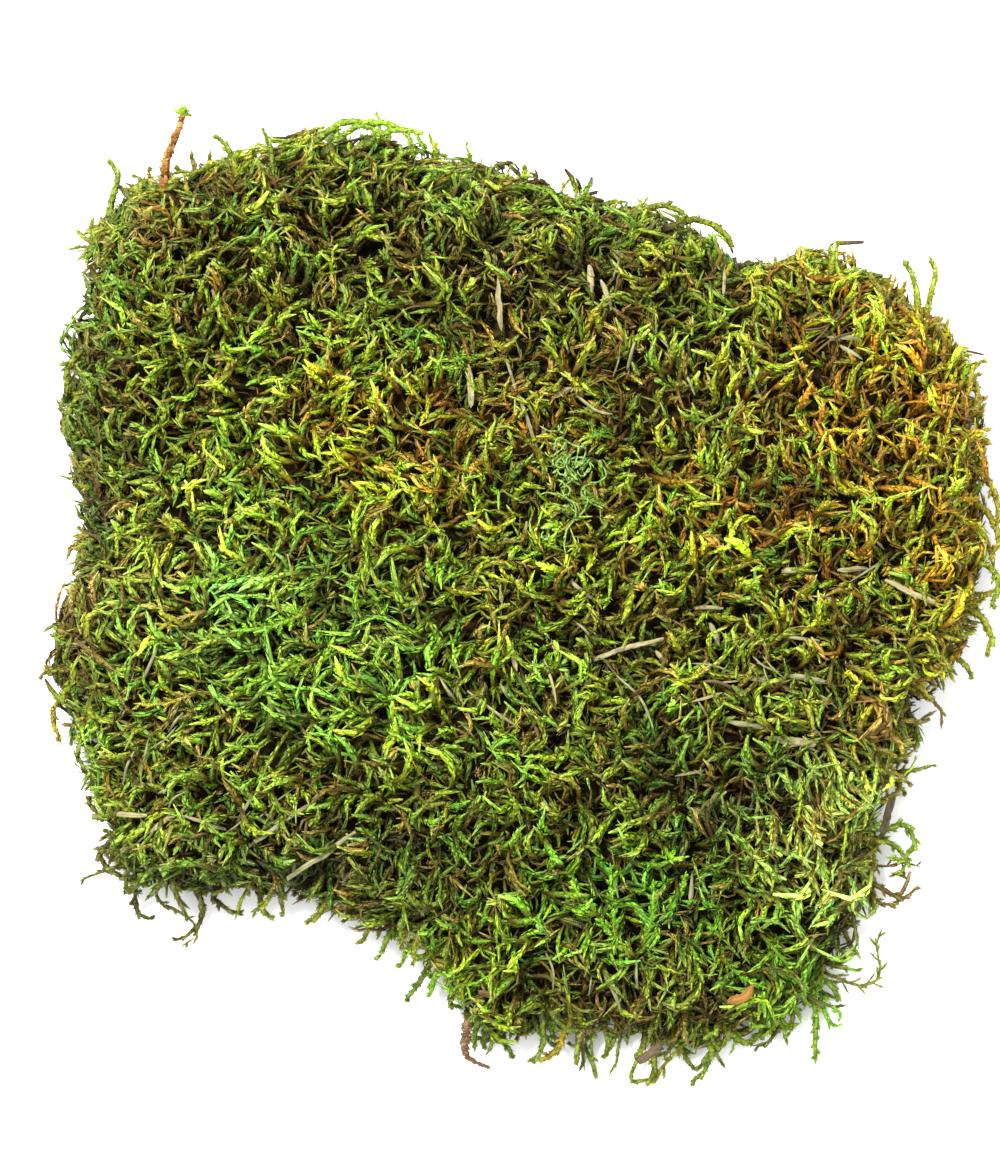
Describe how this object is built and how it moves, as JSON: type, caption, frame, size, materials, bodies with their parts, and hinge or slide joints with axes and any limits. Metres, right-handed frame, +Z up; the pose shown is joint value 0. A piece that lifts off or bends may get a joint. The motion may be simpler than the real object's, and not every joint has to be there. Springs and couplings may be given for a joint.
{
  "type": "moss clump",
  "caption": "Torn, roughly square clump of green feather moss with loose fronds at its frayed rim and dry grass, twigs and bark caught in it.",
  "frame": {"origin": "on the surface that the clump lies on, under the centre of its bounding box", "axes": "+Z up, out of the leafy top; +Y along the longer side; +X along the shorter side"},
  "size_m": [0.2358, 0.2456, 0.0326],
  "materials": {
    "moss": "leafy, matt, yellow-green over brown",
    "frond": "leafy, slightly waxy",
    "straw": "dry, pale, slightly glossy",
    "dark_bark": "rough bark",
    "brown_bark": "rough bark",
    "root": "scaly, matt",
    "lichen": "pale, matt threads",
    "leaf_scrap": "dry leaf"
  },
  "bodies": {
    "root": {"bark_flake": "brown_bark", "frond_bottom_a": "frond", "frond_bottom_b": "frond", "frond_bottom_c": "frond", "frond_bottom_left": "frond", "frond_bottom_right": "frond", "frond_left_corner": "frond", "frond_notch": "frond", "frond_right": "frond", "frond_right_lower_a": "frond", "frond_right_lower_b": "frond", "frond_right_upper_a": "frond", "frond_right_upper_b": "frond", "frond_sprig": "frond", "frond_top_a": "frond", "frond_top_b": "frond", "frond_top_left_low": "frond", "frond_top_left_tall": "frond", "leaf_scrap": "leaf_scrap", "lichen_tuft": "lichen", "moss_mat": "moss", "needle": "dark_bark", "root": "root", "straw_01": "straw", "straw_02": "straw", "straw_03": "straw", "straw_04": "straw", "straw_05": "straw", "straw_06": "straw", "straw_07": "straw", "straw_08": "straw", "straw_09": "straw", "straw_10": "straw", "straw_11": "straw", "straw_12": "straw", "straw_13": "straw", "straw_14": "straw", "straw_15": "straw", "straw_16": "straw", "straw_17": "straw", "straw_18": "straw", "straw_19": "straw", "straw_20": "straw", "straw_21": "straw", "straw_22": "straw", "straw_23": "straw", "straw_24": "straw", "straw_25": "straw", "straw_26": "straw", "straw_27": "straw", "twig_brown": "brown_bark", "twig_dark": "dark_bark"}
  },
  "joints": []
}
